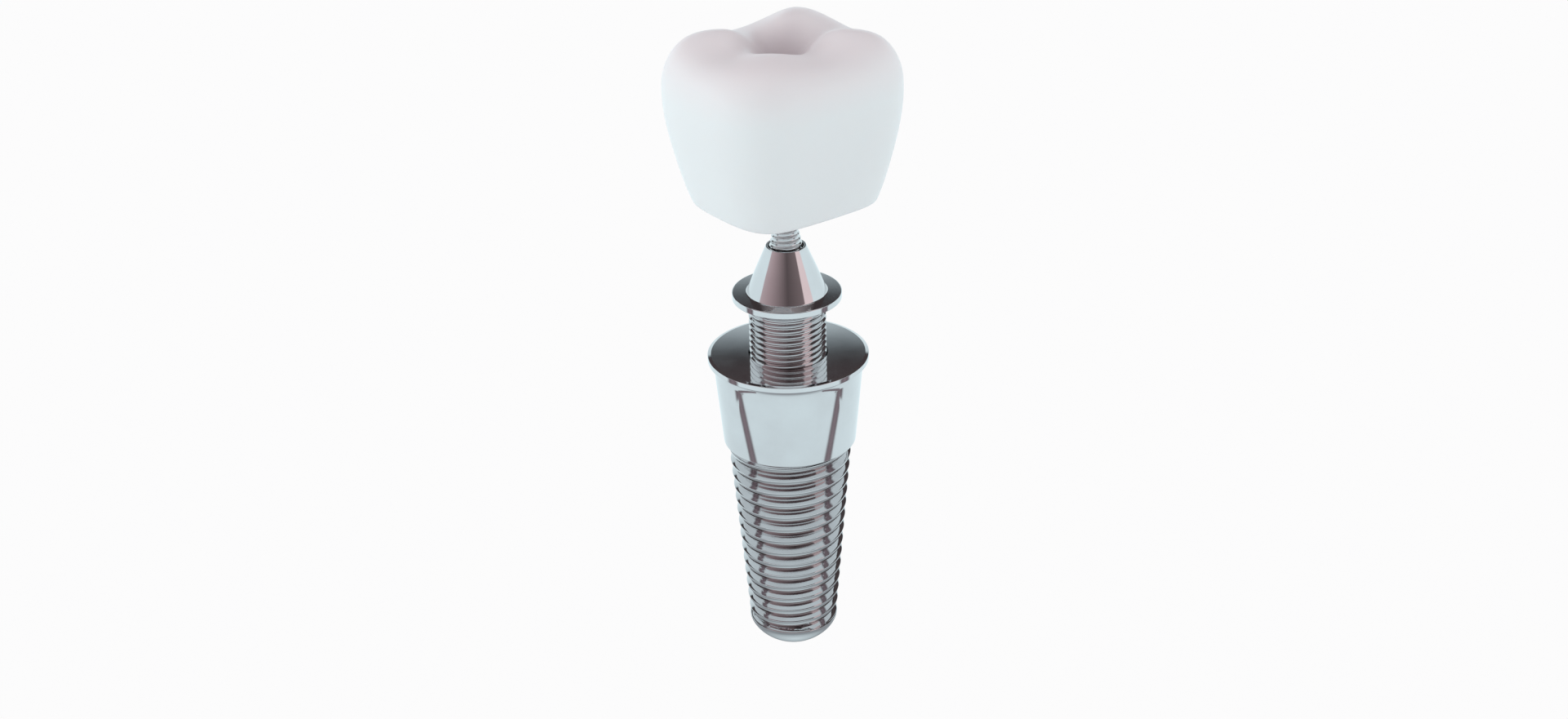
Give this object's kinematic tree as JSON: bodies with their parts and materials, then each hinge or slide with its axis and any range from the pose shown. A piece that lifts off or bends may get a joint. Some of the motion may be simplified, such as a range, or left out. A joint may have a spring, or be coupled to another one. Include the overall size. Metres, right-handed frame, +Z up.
{
  "type": "dental implant",
  "caption": "Tapered threaded root with a flared collar, a flanged cone abutment, its double-ended screw and a lifted molar crown, shown taken apart.",
  "frame": {"origin": "on the implant's axis at bone level, where the root thread meets the underside of the collar", "axes": "+Z up along the axis towards the crown; -Y is the side the picture looks at from above"},
  "size_m": [0.0092, 0.009, 0.0271],
  "materials": {
    "titanium_fixture": "mirror-polished titanium",
    "titanium_abutment": "mirror-polished titanium",
    "titanium_screw": "polished titanium",
    "crown_ceramic": "milky white, glazed"
  },
  "bodies": {
    "root": {"implant_fixture": "titanium_fixture"},
    "abutment_body": {"abutment": "titanium_abutment"},
    "screw_body": {"abutment_screw": "titanium_screw"},
    "crown_body": {"crown": "crown_ceramic"}
  },
  "joints": [
    {"name": "abutment_travel", "type": "slide", "parent": "root", "child": "abutment_body", "axis": [0, 0, 1], "range_m": [-0.00242, 0.0025]},
    {"name": "screw_turn", "type": "hinge", "parent": "abutment_body", "child": "screw_body", "pos_m": [0, 0, 0.0063], "axis": [0, 0, 1], "range_deg": [-3489, 3604]},
    {"name": "crown_lift", "type": "slide", "parent": "abutment_body", "child": "crown_body", "axis": [0, 0, 1], "range_m": [-0.00413, 0.001]}
  ],
  "couplings": [
    {"joint": "screw_turn", "follows": "abutment_travel", "rad_per_m": 25133}
  ]
}
